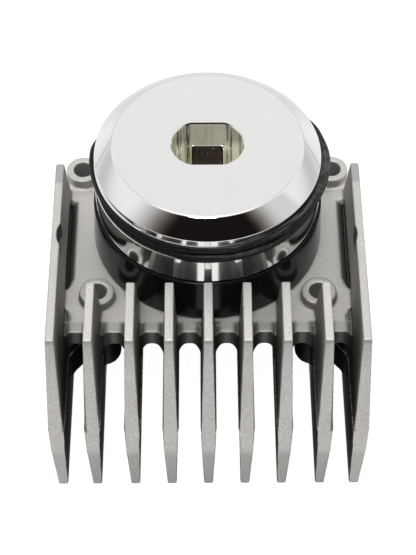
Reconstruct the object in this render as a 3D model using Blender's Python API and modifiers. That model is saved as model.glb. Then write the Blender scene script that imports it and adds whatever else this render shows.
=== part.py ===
"""Finned die-cast drive housing with a turning chrome hub on two ball bearings.

Metres, +Z up.  The part stands on the lower edges of its fins.  The hub turns
about a vertical axis; every dimension below is measured from that axis and
from the top of the casting's plate, and one parent empty carries the lot to
the part's own origin (middle of the footprint, on the ground).
"""
import bpy
import bmesh
import math
from mathutils import Matrix, Vector

MM = 0.001

# ---------------------------------------------------------------- placing
HUB_Y = 11.2            # hub axis behind the middle of the footprint
PLATE_Z = 34.0          # top of the plate above the ground

# ---------------------------------------------------------------- casting
FIN_COUNT = 9
FIN_PITCH = 8.34
FIN_TOP_Z = 14.73       # upper edge of the fins and side walls
FIN_PART_Z = -9.2       # parting plane, where the fins are thickest
FIN_LOW_Z = -34.0       # lower edge, the part stands on it
FIN_T_TOP = 1.90
FIN_T_PART = 3.19
FIN_T_LOW = 1.93
FIN_FRONT_TOP_Y = -42.40
FIN_FRONT_PART_Y = -49.25
FIN_FRONT_LOWER_Z = -16.90
FIN_FRONT_LOWER_Y = -49.90
FIN_FRONT_LOW_Y = -47.66
FIN_INNER_TOP_Y = -26.90   # rear end of the inner fins' upper edge
WALL_REAR_TOP_Y = 7.12
WALL_REAR_PLATE_Y = 11.90
FIN_REAR_PART_Y = 14.50
FIN_REAR_LOWER_Y = 14.90
FIN_REAR_LOW_Y = 12.60

PLATE_T = 5.0
PLATE_HALF_X = 30.3
PLATE_FRONT_Y = -26.6
PLATE_REAR_Y = 13.0
PLATE_REAR_R = 27.5
WEB_FRONT_Y = -29.3
WEB_TOP_Z = -0.25
WEB_EDGE_R = 1.6
WEB_CROWN_Z = -4.55
WEB_SPRING_Z = -8.0

BOSS_FRONT = (24.75, -20.0)
BOSS_REAR = (29.2, 16.2)
BOSS_R = 3.9
BOSS_TOP_Z = 2.65
BOSS_HOLE_R = 2.25
BOSS_HOLE_LOW_Z = -13.4
BOSS_LOW_R = 4.68
BOSS_FRONT_LOW_Z = -19.9
BOSS_REAR_LOW_Z = -12.0
PAD_R = 7.5
PAD_REAR_Y = 8.9
RIB_T = 1.6
RIB_LOW_Z = -17.4

SEAT_R = 14.5           # bearing carrier under the plate
SEAT_LOW_Z = -23.6
WELL_R = 12.3
WELL_TOP_Z = -2.2
THROAT_R = 9.3
SNAP_GROOVE_R = 13.3

# ---------------------------------------------------------------- collar
COLLAR_R_LOW = 25.2
COLLAR_R_TOP = 25.0
COLLAR_R_IN = 20.0
COLLAR_LOW_Z = 0.3
COLLAR_TOP_Z = 12.9

SCREW_X = 12.51         # in the middle of a fin gap
SCREW_RADIUS = 22.6
SCREW_R = 1.25
SCREW_HEAD_R = 2.1

# ---------------------------------------------------------------- hub
HUB_R = 25.0
HUB_TOP_R = 20.85
HUB_TOP_Z = 29.2
HUB_BEVEL_Z = 26.1
HUB_LOW_Z = 13.2
GROOVE_TOP_Z = 24.3
GROOVE_LOW_Z = 19.85
GROOVE_R = 23.85
RING_R = 25.32          # middle of the rubber
RING_SECTION_R = 1.0
RING_UPPER_Z = 23.15
RING_LOWER_Z = 21.0
SOCKET_FLAT_Y = 5.95
SOCKET_END_R = 6.4
SOCKET_END_X = 1.45
SOCKET_FLOOR_Z = 22.0
SLOT_X = 6.5
SLOT_Y = 11.4
SHAFT_R = 6.35
SHAFT_BORE_R = 6.65
SHAFT_TOP_Z = 18.6

# ---------------------------------------------------------------- bearings
BEARING_TOP = (-2.5, -11.5)
BEARING_B = 6.0
BEARING_R_IN = 6.0
BEARING_R_OUT = 12.0
BALL_PITCH_R = 9.0
BALL_R = 1.55
BALLS = 8
RACE_R = 1.75
JOURNAL_R = 5.75        # spindle inside the inner rings

AXIS = Vector((0.0, HUB_Y * MM, PLATE_Z * MM))


# ---------------------------------------------------------------- scene
for old in list(bpy.data.objects):
    bpy.data.objects.remove(old, do_unlink=True)


def new_collection(name):
    coll = bpy.data.collections.new(name)
    bpy.context.scene.collection.children.link(coll)
    return coll


PARTS = new_collection("finned_drive_housing")
CUTTERS = new_collection("cutters")

axis_empty = bpy.data.objects.new("drive_axis", None)
axis_empty.location = AXIS
axis_empty.empty_display_size = 0.02
PARTS.objects.link(axis_empty)


def material(name, colour, roughness, metallic):
    mat = bpy.data.materials.new(name)
    mat.use_nodes = True
    bsdf = mat.node_tree.nodes["Principled BSDF"]
    bsdf.inputs["Base Color"].default_value = (*colour, 1.0)
    bsdf.inputs["Roughness"].default_value = roughness
    bsdf.inputs["Metallic"].default_value = metallic
    return mat


CAST = material("cast_aluminium", (0.58, 0.57, 0.55), 0.5, 0.9)
CHROME = material("chrome", (0.86, 0.86, 0.86), 0.05, 1.0)
RUBBER = material("black_rubber", (0.018, 0.018, 0.019), 0.5, 0.0)
GLOSS = material("gloss_black", (0.012, 0.012, 0.013), 0.12, 0.0)
STEEL = material("steel", (0.55, 0.55, 0.56), 0.3, 1.0)
DARK = material("dark_steel", (0.10, 0.09, 0.085), 0.45, 0.8)
CAGE = material("cage_plastic", (0.32, 0.20, 0.10), 0.5, 0.0)
ZINC = material("zinc_plated", (0.62, 0.62, 0.60), 0.35, 1.0)


def mesh_object(name, bm, coll, mat=None, smooth=True):
    bmesh.ops.recalc_face_normals(bm, faces=bm.faces[:])
    mesh = bpy.data.meshes.new(name)
    bm.to_mesh(mesh)
    bm.free()
    if smooth:
        mesh.shade_smooth()
        mesh.set_sharp_from_angle(angle=math.radians(30))
    obj = bpy.data.objects.new(name, mesh)
    if mat is not None:
        mesh.materials.append(mat)
    coll.objects.link(obj)
    obj.parent = axis_empty
    return obj


def helper(obj):
    obj.hide_render = True
    obj.display_type = "WIRE"
    return obj


def prism(name, outline, axis, low, high, coll, mat=None):
    """Outline of (u, v) millimetres, extruded along the axis."""
    place = {
        "X": lambda u, v, w: (w, u, v),
        "Y": lambda u, v, w: (u, w, v),
        "Z": lambda u, v, w: (u, v, w),
    }[axis]
    bm = bmesh.new()
    face = bm.faces.new([bm.verts.new(Vector(place(u, v, low)) * MM) for u, v in outline])
    grown = bmesh.ops.extrude_face_region(bm, geom=[face])
    step = Vector(place(0.0, 0.0, high - low)) * MM
    moved = [g for g in grown["geom"] if isinstance(g, bmesh.types.BMVert)]
    bmesh.ops.translate(bm, verts=moved, vec=step)
    return mesh_object(name, bm, coll, mat)


def cylinder(name, x, y, r, low, high, segments, coll, mat=None, r_low=None):
    bm = bmesh.new()
    bmesh.ops.create_cone(
        bm, cap_ends=True, segments=segments,
        radius1=(r if r_low is None else r_low) * MM, radius2=r * MM,
        depth=(high - low) * MM,
        matrix=Matrix.Translation(Vector((x, y, (low + high) / 2)) * MM),
    )
    return mesh_object(name, bm, coll, mat)


def box(name, x0, x1, y0, y1, z0, z1, coll, mat=None, turn=0.0, pivot=(0.0, 0.0)):
    bm = bmesh.new()
    bmesh.ops.create_cube(bm, size=1.0)
    bmesh.ops.scale(bm, verts=bm.verts, vec=Vector((x1 - x0, y1 - y0, z1 - z0)) * MM)
    bmesh.ops.translate(
        bm, verts=bm.verts,
        vec=Vector(((x0 + x1) / 2, (y0 + y1) / 2, (z0 + z1) / 2)) * MM)
    if turn:
        about = Vector((pivot[0], pivot[1], 0.0)) * MM
        bmesh.ops.rotate(bm, verts=bm.verts, cent=about, matrix=Matrix.Rotation(turn, 3, "Z"))
    return mesh_object(name, bm, coll, mat)


def turned(name, profile, steps, coll, mat=None, closed=False):
    """Profile of (radius, z) millimetres, outer side running downwards."""
    bm = bmesh.new()
    verts = [bm.verts.new((r * MM, 0.0, z * MM)) for r, z in profile]
    for a, b in zip(verts, verts[1:]):
        bm.edges.new((a, b))
    if closed:
        bm.edges.new((verts[-1], verts[0]))
    mesh = bpy.data.meshes.new(name)
    bm.to_mesh(mesh)
    bm.free()
    obj = bpy.data.objects.new(name, mesh)
    if mat is not None:
        mesh.materials.append(mat)
    coll.objects.link(obj)
    obj.parent = axis_empty
    screw = obj.modifiers.new("turn", "SCREW")
    screw.axis = "Z"
    screw.angle = math.tau
    screw.steps = steps
    screw.render_steps = steps
    screw.use_merge_vertices = True
    screw.merge_threshold = 0.00001
    screw.use_smooth_shade = True
    return obj


def boolean(obj, operand, operation, name):
    mod = obj.modifiers.new(name, "BOOLEAN")
    mod.operation = operation
    mod.solver = "EXACT"
    if isinstance(operand, bpy.types.Collection):
        mod.operand_type = "COLLECTION"
        mod.collection = operand
    else:
        mod.object = operand
    return mod


def arc(cx, cy, r, a0, a1, n):
    """n + 1 points of an arc, degrees."""
    pts = []
    for i in range(n + 1):
        a = math.radians(a0 + (a1 - a0) * i / n)
        pts.append((cx + r * math.cos(a), cy + r * math.sin(a)))
    return pts


# ---------------------------------------------------------------- casting
ADDS = bpy.data.collections.new("casting_adds")
CUTS = bpy.data.collections.new("casting_cuts")
CUTTERS.children.link(ADDS)
CUTTERS.children.link(CUTS)


def fin_thickness(z):
    if z >= FIN_PART_Z:
        k = (z - FIN_PART_Z) / (FIN_TOP_Z - FIN_PART_Z)
        return FIN_T_PART + (FIN_T_TOP - FIN_T_PART) * k
    k = (FIN_PART_Z - z) / (FIN_PART_Z - FIN_LOW_Z)
    return FIN_T_PART + (FIN_T_LOW - FIN_T_PART) * k


def fin(name, x, outline):
    """Side outline of (y, z), drafted both ways from the parting plane."""
    bm = bmesh.new()
    face = bm.faces.new([bm.verts.new((-1.0, y, z)) for y, z in outline])
    grown = bmesh.ops.extrude_face_region(bm, geom=[face])
    moved = [g for g in grown["geom"] if isinstance(g, bmesh.types.BMVert)]
    bmesh.ops.translate(bm, verts=moved, vec=(2.0, 0.0, 0.0))
    bmesh.ops.bisect_plane(
        bm, geom=bm.verts[:] + bm.edges[:] + bm.faces[:], dist=1e-6,
        plane_co=(0.0, 0.0, FIN_PART_Z), plane_no=(0.0, 0.0, 1.0))
    for v in bm.verts:
        half = fin_thickness(v.co.z) / 2
        v.co = Vector((x + math.copysign(half, v.co.x), v.co.y, v.co.z)) * MM
    return helper(mesh_object(name, bm, ADDS))


front_edge = [
    (FIN_FRONT_LOW_Y, FIN_LOW_Z),
    (FIN_FRONT_LOWER_Y, FIN_FRONT_LOWER_Z),
    (FIN_FRONT_PART_Y, FIN_PART_Z),
    (FIN_FRONT_TOP_Y, FIN_TOP_Z),
]
rear_edge_low = [
    (FIN_REAR_PART_Y, FIN_PART_Z),
    (FIN_REAR_LOWER_Y, FIN_FRONT_LOWER_Z),
    (FIN_REAR_LOW_Y, FIN_LOW_Z),
]


def inner_fin_foot(x):
    """Where an inner fin's sloping rear edge reaches the plate."""
    near = abs(x) - fin_thickness(0.0) / 2
    if abs(abs(x) - BOSS_FRONT[0]) < FIN_PITCH / 2:
        return BOSS_FRONT[1] - BOSS_HOLE_R - 0.9
    near = max(near, 0.0)
    return -math.sqrt((COLLAR_R_LOW + 0.4) ** 2 - near ** 2)


half_count = (FIN_COUNT - 1) // 2
fin_x = [(i - half_count) * FIN_PITCH for i in range(FIN_COUNT)]
for i, x in enumerate(fin_x):
    if i in (0, FIN_COUNT - 1):
        upper_rear = [(WALL_REAR_TOP_Y, FIN_TOP_Z), (WALL_REAR_PLATE_Y, 0.0)]
    else:
        upper_rear = [
            (FIN_INNER_TOP_Y, FIN_TOP_Z),
            (inner_fin_foot(x), -0.1),
            (inner_fin_foot(x) + 0.3, -0.9),
            (WALL_REAR_PLATE_Y + 0.3, -0.9),
        ]
    fin("fin_form_%d" % (i + 1), x, front_edge + upper_rear + rear_edge_low)

# arched webs between neighbouring fins, the underside of the plate
for i in range(FIN_COUNT - 1):
    left = fin_x[i] + fin_thickness(-1.0) / 2
    right = fin_x[i + 1] - fin_thickness(-1.0) / 2
    mid = (left + right) / 2
    span = (right - left) / 2
    inset = 0.75
    outline = [(left - inset, WEB_SPRING_Z - 0.6)]
    for j in range(9):
        a = math.pi - math.pi * j / 8
        outline.append((mid + span * math.cos(a),
                        WEB_SPRING_Z + (WEB_CROWN_Z - WEB_SPRING_Z) * math.sin(a) ** 0.7))
    outline.append((right + inset, WEB_SPRING_Z - 0.6))
    low_edge = WEB_TOP_Z - WEB_EDGE_R
    outline.append((right + inset, low_edge - 0.1))
    outline += arc(right - WEB_EDGE_R, low_edge, WEB_EDGE_R, 0, 90, 4)
    outline += arc(left + WEB_EDGE_R, low_edge, WEB_EDGE_R, 90, 180, 4)
    outline.append((left - inset, low_edge - 0.1))
    helper(prism("web_form_%d" % (i + 1), outline, "Y", WEB_FRONT_Y, PLATE_REAR_Y - 1.2, ADDS))

# round rear of the plate, pads and bosses
helper(cylinder("plate_rear_form", 0, 0, PLATE_REAR_R, -PLATE_T + 0.1, -0.0, 56, ADDS))
helper(cylinder("bearing_carrier_form", 0, 0, SEAT_R, SEAT_LOW_Z, -PLATE_T / 2, 36, ADDS))
for side, tag in ((-1, "l"), (1, "r")):
    fx, fy = BOSS_FRONT[0] * side, BOSS_FRONT[1]
    rx, ry = BOSS_REAR[0] * side, BOSS_REAR[1]
    helper(cylinder("front_pad_form_" + tag, fx, fy, PAD_R, -PLATE_T - 0.3, 0.0, 32, ADDS))
    helper(cylinder("front_boss_form_" + tag, fx, fy, BOSS_R, -1.0, BOSS_TOP_Z, 24, ADDS,
                    r_low=BOSS_R + 0.15))
    helper(cylinder("front_boss_low_form_" + tag, fx, fy, BOSS_LOW_R, BOSS_FRONT_LOW_Z, -1.5, 24, ADDS))
    helper(cylinder("rear_boss_form_" + tag, rx, ry, BOSS_R, BOSS_REAR_LOW_Z, BOSS_TOP_Z, 24, ADDS))
    x0, x1 = sorted((side * 22.0, side * 32.7))
    helper(box("rear_pad_form_" + tag, x0, x1, PAD_REAR_Y, 15.2, -PLATE_T - 0.2, 0.0, ADDS))
    reach = math.hypot(rx, ry)
    helper(box("rear_lug_form_" + tag, 18.0, reach, -BOSS_R + 0.06, BOSS_R - 0.06,
               -PLATE_T - 0.4, -0.02, ADDS, turn=math.atan2(ry, rx)))
    # slanting stiffener from the front boss to the side wall
    out = math.radians(-130) if side < 0 else math.radians(-50)
    helper(box("rib_form_" + tag, fx + 2.0, fx + 11.6, fy - RIB_T / 2, fy + RIB_T / 2,
               RIB_LOW_Z, -PLATE_T + 0.5, ADDS, turn=out, pivot=(fx, fy)))

# bearing well, throat, snap-ring groove, blind boss holes, screw holes
helper(cylinder("well_cut", 0, 0, WELL_R, FIN_LOW_Z - 2, WELL_TOP_Z, 36, CUTS))
helper(cylinder("throat_cut", 0, 0, THROAT_R, WELL_TOP_Z - 1, 1.0, 28, CUTS))
helper(cylinder("snap_groove_cut", 0, 0, SNAP_GROOVE_R, -19.2, -17.6, 36, CUTS))
for side, tag in ((-1, "l"), (1, "r")):
    for (bx, by), place in ((BOSS_FRONT, "front"), (BOSS_REAR, "rear")):
        low = BOSS_HOLE_LOW_Z if place == "front" else BOSS_REAR_LOW_Z - 1.0
        helper(cylinder("%s_hole_cut_%s" % (place, tag), bx * side, by, BOSS_HOLE_R,
                        low, BOSS_TOP_Z + 1.0, 20, CUTS))
SCREW_Y = math.sqrt(SCREW_RADIUS ** 2 - SCREW_X ** 2)
screw_spots = [(sx * SCREW_X, sy * SCREW_Y) for sy in (-1, 1) for sx in (-1, 1)]
for i, (sx, sy) in enumerate(screw_spots):
    helper(cylinder("screw_hole_cut_%d" % i, sx, sy, SCREW_R + 0.35, -8.0, 1.0, 12, CUTS))
    helper(cylinder("screw_seat_cut_%d" % i, sx, sy, SCREW_HEAD_R + 0.4, -12.0, -PLATE_T - 0.5, 16, CUTS))

housing = box("housing", -PLATE_HALF_X, PLATE_HALF_X, PLATE_FRONT_Y, PLATE_REAR_Y,
              -PLATE_T, 0.0, PARTS, CAST)
boolean(housing, ADDS, "UNION", "join")
boolean(housing, CUTS, "DIFFERENCE", "cut")

# ---------------------------------------------------------------- collar
collar = turned("collar", [
    (COLLAR_R_IN, COLLAR_TOP_Z),
    (COLLAR_R_TOP - 0.4, COLLAR_TOP_Z),
    (COLLAR_R_TOP, COLLAR_TOP_Z - 0.4),
    (COLLAR_R_LOW, COLLAR_LOW_Z),
    (COLLAR_R_IN, COLLAR_LOW_Z),
], 60, PARTS, GLOSS, closed=True)
COLLAR_CUTS = bpy.data.collections.new("collar_cuts")
CUTTERS.children.link(COLLAR_CUTS)
for i, (sx, sy) in enumerate(screw_spots):
    helper(cylinder("collar_hole_cut_%d" % i, sx, sy, SCREW_R + 0.3, -1.0, 8.6, 12, COLLAR_CUTS))
boolean(collar, COLLAR_CUTS, "DIFFERENCE", "screw_holes")

for i, (sx, sy) in enumerate(screw_spots):
    screw = turned("collar_screw_%d" % (i + 1), [
        (0.0, 8.2), (SCREW_R - 0.3, 8.2), (SCREW_R, 7.8), (SCREW_R, -PLATE_T - 0.8),
        (SCREW_HEAD_R, -PLATE_T - 0.8), (SCREW_HEAD_R, -PLATE_T - 2.2),
        (SCREW_HEAD_R - 0.3, -PLATE_T - 2.5), (1.0, -PLATE_T - 2.5), (1.0, -PLATE_T - 1.5),
        (0.0, -PLATE_T - 1.5),
    ], 12, PARTS, ZINC)
    screw.location = Vector((sx, sy, 0.0)) * MM

# ---------------------------------------------------------------- hub
hub = turned("hub", [
    (0.0, HUB_TOP_Z),
    (HUB_TOP_R, HUB_TOP_Z),
    (HUB_R, HUB_BEVEL_Z),
    (HUB_R, GROOVE_TOP_Z),
    (GROOVE_R, GROOVE_TOP_Z),
    (GROOVE_R, GROOVE_LOW_Z),
    (HUB_R, GROOVE_LOW_Z),
    (HUB_R, HUB_LOW_Z),
    (SHAFT_BORE_R, HUB_LOW_Z),
    (SHAFT_BORE_R, SHAFT_TOP_Z + 0.3),
    (0.0, SHAFT_TOP_Z + 0.3),
], 60, PARTS, CHROME)


def socket_outline():
    reach = math.degrees(math.asin(SOCKET_FLAT_Y / SOCKET_END_R))
    return (arc(SOCKET_END_X, 0.0, SOCKET_END_R, -reach, reach, 14)
            + arc(-SOCKET_END_X, 0.0, SOCKET_END_R, 180 - reach, 180 + reach, 14))


HUB_CUTS = bpy.data.collections.new("hub_cuts")
CUTTERS.children.link(HUB_CUTS)
helper(prism("socket_cut", socket_outline(), "Z", SOCKET_FLOOR_Z, HUB_TOP_Z + 2, HUB_CUTS))
helper(box("tang_slot_cut", -SLOT_X / 2, SLOT_X / 2, -SLOT_Y / 2, SLOT_Y / 2,
           SHAFT_TOP_Z - 1.0, SOCKET_FLOOR_Z + 0.6, HUB_CUTS))
boolean(hub, HUB_CUTS, "DIFFERENCE", "socket")


def torus(name, r, section, z, coll, mat):
    profile = [(r + section * math.cos(a), z - section * math.sin(a))
               for a in (math.tau * i / 8 for i in range(8))]
    return turned(name, profile, 48, coll, mat, closed=True)


torus("ring_upper", RING_R, RING_SECTION_R, RING_UPPER_Z, PARTS, RUBBER)
torus("ring_lower", RING_R, RING_SECTION_R, RING_LOWER_Z, PARTS, RUBBER)

# spindle: journal in the bearings, carrying flange, flat tang in the hub
spindle = turned("spindle", [
    (0.0, SHAFT_TOP_Z),
    (SHAFT_R, SHAFT_TOP_Z),
    (SHAFT_R, HUB_LOW_Z - 0.3),
    (11.0, HUB_LOW_Z - 0.3),
    (11.0, 9.6),
    (8.0, 8.0),
    (8.0, -2.2),
    (JOURNAL_R, -2.2),
    (JOURNAL_R, -17.85),
    (5.0, -17.85),
    (5.0, -19.05),
    (JOURNAL_R, -19.05),
    (JOURNAL_R, -20.4),
    (JOURNAL_R - 0.6, -21.0),
    (0.0, -21.0),
], 24, PARTS, DARK)
tang = helper(box("tang_form", -3.05, 3.05, -5.45, 5.45, SHAFT_TOP_Z - 2.0, 21.7, CUTTERS))
boolean(spindle, tang, "UNION", "tang")

# ---------------------------------------------------------------- bearings
for tag, top in zip(("upper", "lower"), BEARING_TOP):
    mid = top - BEARING_B / 2
    low = top - BEARING_B
    half = math.sqrt(RACE_R ** 2 - 1.35 ** 2)
    groove = math.degrees(math.asin(half / RACE_R))
    # outer ring: plain outside, round race inside
    outer = [(BEARING_R_OUT, top), (BEARING_R_OUT, low), (BALL_PITCH_R + 1.35, low)]
    outer += arc(BALL_PITCH_R, mid, RACE_R, -groove, groove, 4)
    outer.append((BALL_PITCH_R + 1.35, top))
    turned("bearing_%s_outer" % tag, outer, 28, PARTS, STEEL, closed=True)
    inner = [(BALL_PITCH_R - 1.35, top)]
    inner += arc(BALL_PITCH_R, mid, RACE_R, 180 - groove, 180 + groove, 4)
    inner += [(BALL_PITCH_R - 1.35, low), (BEARING_R_IN, low), (BEARING_R_IN, top)]
    turned("bearing_%s_inner" % tag, inner, 24, PARTS, STEEL, closed=True)
    # crown cage, open downwards round the balls
    cage = turned("bearing_%s_cage" % tag, [
        (8.35, mid + 2.5), (9.65, mid + 2.5), (9.65, mid - 0.7), (8.35, mid - 0.7),
    ], 24, PARTS, CAGE, closed=True)
    pockets = bpy.data.collections.new("pockets_" + tag)
    CUTTERS.children.link(pockets)
    for b in range(BALLS):
        a = math.tau * (b + 0.5) / BALLS
        spot = (BALL_PITCH_R * math.cos(a), BALL_PITCH_R * math.sin(a))
        pocket = cylinder("pocket_%s_%d" % (tag, b), 0, 0, BALL_R + 0.3, -2.0, 2.0, 10, pockets)
        helper(pocket)
        pocket.rotation_euler = (0.0, math.pi / 2, a)
        pocket.location = Vector((spot[0], spot[1], mid)) * MM
        bm = bmesh.new()
        bmesh.ops.create_uvsphere(bm, u_segments=10, v_segments=6, radius=BALL_R * MM)
        ball = mesh_object("bearing_%s_ball_%d" % (tag, b + 1), bm, PARTS, STEEL)
        ball.location = Vector((spot[0], spot[1], mid)) * MM
    boolean(cage, pockets, "DIFFERENCE", "pockets")

gap_top = BEARING_TOP[0] - BEARING_B - 0.3
gap_low = BEARING_TOP[1] + 0.3
turned("spacer_inner", [(7.4, gap_top), (7.4, gap_low), (6.1, gap_low), (6.1, gap_top)],
       24, PARTS, STEEL, closed=True)
turned("spacer_outer", [(12.0, gap_top), (12.0, gap_low), (10.6, gap_low), (10.6, gap_top)],
       24, PARTS, STEEL, closed=True)


def snap_ring(name, r_in, r_out, low, high, opening):
    """Open flat ring with eyes-free ends."""
    n = 18
    a0, a1 = -90 + opening / 2, 270 - opening / 2
    outline = arc(0, 0, r_out, a0, a1, n) + arc(0, 0, r_in, a1, a0, n)
    return prism(name, outline, "Z", low, high, PARTS, STEEL)


snap_ring("snap_ring_housing", 11.0, 12.95, -18.9, -17.9, 26)
snap_ring("snap_ring_spindle", 5.3, 7.6, -18.75, -18.15, 40)

# dished cap that closes the bearing well from below
turned("dust_cap", [
    (0.0, -22.3), (9.6, -22.3), (10.6, -21.8), (12.0, -21.8), (12.0, -23.0),
    (10.9, -23.3), (9.9, -23.3), (0.0, -23.3),
], 32, PARTS, ZINC)
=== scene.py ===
"""Looks of the finned drive housing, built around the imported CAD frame.

Lengths in the tables below are millimetres in the hub's own frame: the origin
is on the hub's axis at the top of the casting's plate.  row() turns them into
the frame's metres.
"""
import math

import bmesh
import bpy
import numpy as np
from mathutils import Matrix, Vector, noise


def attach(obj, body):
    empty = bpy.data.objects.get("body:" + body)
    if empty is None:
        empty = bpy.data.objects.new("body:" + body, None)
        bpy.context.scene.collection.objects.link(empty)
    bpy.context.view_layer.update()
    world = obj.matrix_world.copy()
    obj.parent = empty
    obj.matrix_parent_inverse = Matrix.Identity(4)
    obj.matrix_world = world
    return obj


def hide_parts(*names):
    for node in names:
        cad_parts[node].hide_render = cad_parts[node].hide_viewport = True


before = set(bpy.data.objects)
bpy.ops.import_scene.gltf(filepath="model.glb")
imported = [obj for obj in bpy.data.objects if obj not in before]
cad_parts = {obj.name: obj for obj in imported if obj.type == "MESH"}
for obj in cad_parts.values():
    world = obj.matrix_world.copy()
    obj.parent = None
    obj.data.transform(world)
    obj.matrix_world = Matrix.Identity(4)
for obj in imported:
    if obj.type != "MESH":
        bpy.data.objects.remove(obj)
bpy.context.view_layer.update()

MM = 0.001
HUB_Y = 11.2
PLATE_Z = 34.0
FIN_PITCH = 8.34
FIN_PART_Z = -9.2
FIN_TOP_Z = 14.73
scene = bpy.context.scene
scene.view_settings.view_transform = "Standard"
scene.view_settings.look = "None"


def row(points):
    """Hub-frame millimetres to the frame's metres."""
    pts = np.asarray(points, float).reshape(-1, 3)
    return (pts + np.array([0.0, HUB_Y, PLATE_Z])) * MM


# ------------------------------------------------------------------ camera
CAM_AT = (0.0, -0.23967, 0.33714)
CAM_DOWN = 52.0154
CAM_LENS = 110.42

cam_data = bpy.data.cameras.new("camera")
cam_data.lens = CAM_LENS
cam_data.sensor_width = 36.0
cam_data.sensor_fit = "AUTO"
cam_data.clip_start = 0.01
cam_data.clip_end = 50.0
cam_data.shift_x = -0.27 / 555
cam_data.shift_y = -0.19 / 555
camera = bpy.data.objects.new("camera", cam_data)
CAM_YAW = 0.30          # degrees about the upright through the fins' front half
PIVOT = Vector((0.0, -0.022, 0.0))
arm = Vector(CAM_AT) - PIVOT
yaw = math.radians(-CAM_YAW)
camera.location = PIVOT + Vector((
    arm.x * math.cos(yaw) - arm.y * math.sin(yaw),
    arm.x * math.sin(yaw) + arm.y * math.cos(yaw),
    arm.z,
))
camera.rotation_euler = (math.radians(90.0 - CAM_DOWN), 0.0, yaw)
scene.collection.objects.link(camera)
scene.camera = camera


# ------------------------------------------------------------------ node helpers
def node(tree, kind, inputs=None, **props):
    n = tree.nodes.new(kind)
    for key, value in props.items():
        setattr(n, key, value)
    for key, value in (inputs or {}).items():
        socket = n.inputs[key]
        if isinstance(value, bpy.types.NodeSocket):
            tree.links.new(value, socket)
        else:
            socket.default_value = value
    return n


def maths(tree, op, a, b=0.0, c=0.0, clamp=False):
    n = node(tree, "ShaderNodeMath", {0: a, 1: b, 2: c}, operation=op, use_clamp=clamp)
    return n.outputs[0]


def spread(tree, value, lo, hi, out_lo=0.0, out_hi=1.0, smooth=False):
    n = node(tree, "ShaderNodeMapRange", {
        "Value": value, "From Min": lo, "From Max": hi, "To Min": out_lo, "To Max": out_hi,
    }, interpolation_type="SMOOTHSTEP" if smooth else "LINEAR", clamp=True)
    return n.outputs["Result"]


def mixed(tree, factor, a, b, blend="MIX"):
    n = node(tree, "ShaderNodeMix", {0: factor, 6: a, 7: b}, data_type="RGBA", blend_type=blend)
    return n.outputs[2]


def noise_tex(tree, vector, scale, detail=2.0, rough=0.5, distort=0.0):
    n = node(tree, "ShaderNodeTexNoise", {
        "Vector": vector, "Scale": scale, "Detail": detail, "Roughness": rough, "Distortion": distort,
    })
    return n.outputs["Fac"]


def cells(tree, vector, scale, feature="F1", randomness=1.0):
    n = node(tree, "ShaderNodeTexVoronoi", {
        "Vector": vector, "Scale": scale, "Randomness": randomness,
    }, feature=feature)
    return n.outputs["Distance"]


def stretched(tree, vector, scale):
    n = node(tree, "ShaderNodeMapping", {"Vector": vector, "Scale": scale})
    return n.outputs["Vector"]


def bump(tree, height, strength, distance, normal=None):
    inputs = {"Height": height, "Strength": strength, "Distance": distance}
    if normal is not None:
        inputs["Normal"] = normal
    return node(tree, "ShaderNodeBump", inputs).outputs["Normal"]


def new_material(name):
    mat = bpy.data.materials.new(name)
    mat.use_nodes = True
    tree = mat.node_tree
    tree.nodes.clear()
    out = node(tree, "ShaderNodeOutputMaterial")
    bsdf = node(tree, "ShaderNodeBsdfPrincipled")
    tree.links.new(bsdf.outputs[0], out.inputs["Surface"])
    place = node(tree, "ShaderNodeTexCoord").outputs["Object"]
    return mat, tree, bsdf, place


def connect(tree, bsdf, **sockets):
    names = {"colour": "Base Color", "rough": "Roughness", "metal": "Metallic", "normal": "Normal"}
    for key, value in sockets.items():
        socket = bsdf.inputs[names[key]]
        if isinstance(value, bpy.types.NodeSocket):
            tree.links.new(value, socket)
        else:
            socket.default_value = value


def rgb(r, g, b):
    return (r, g, b, 1.0)


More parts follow.
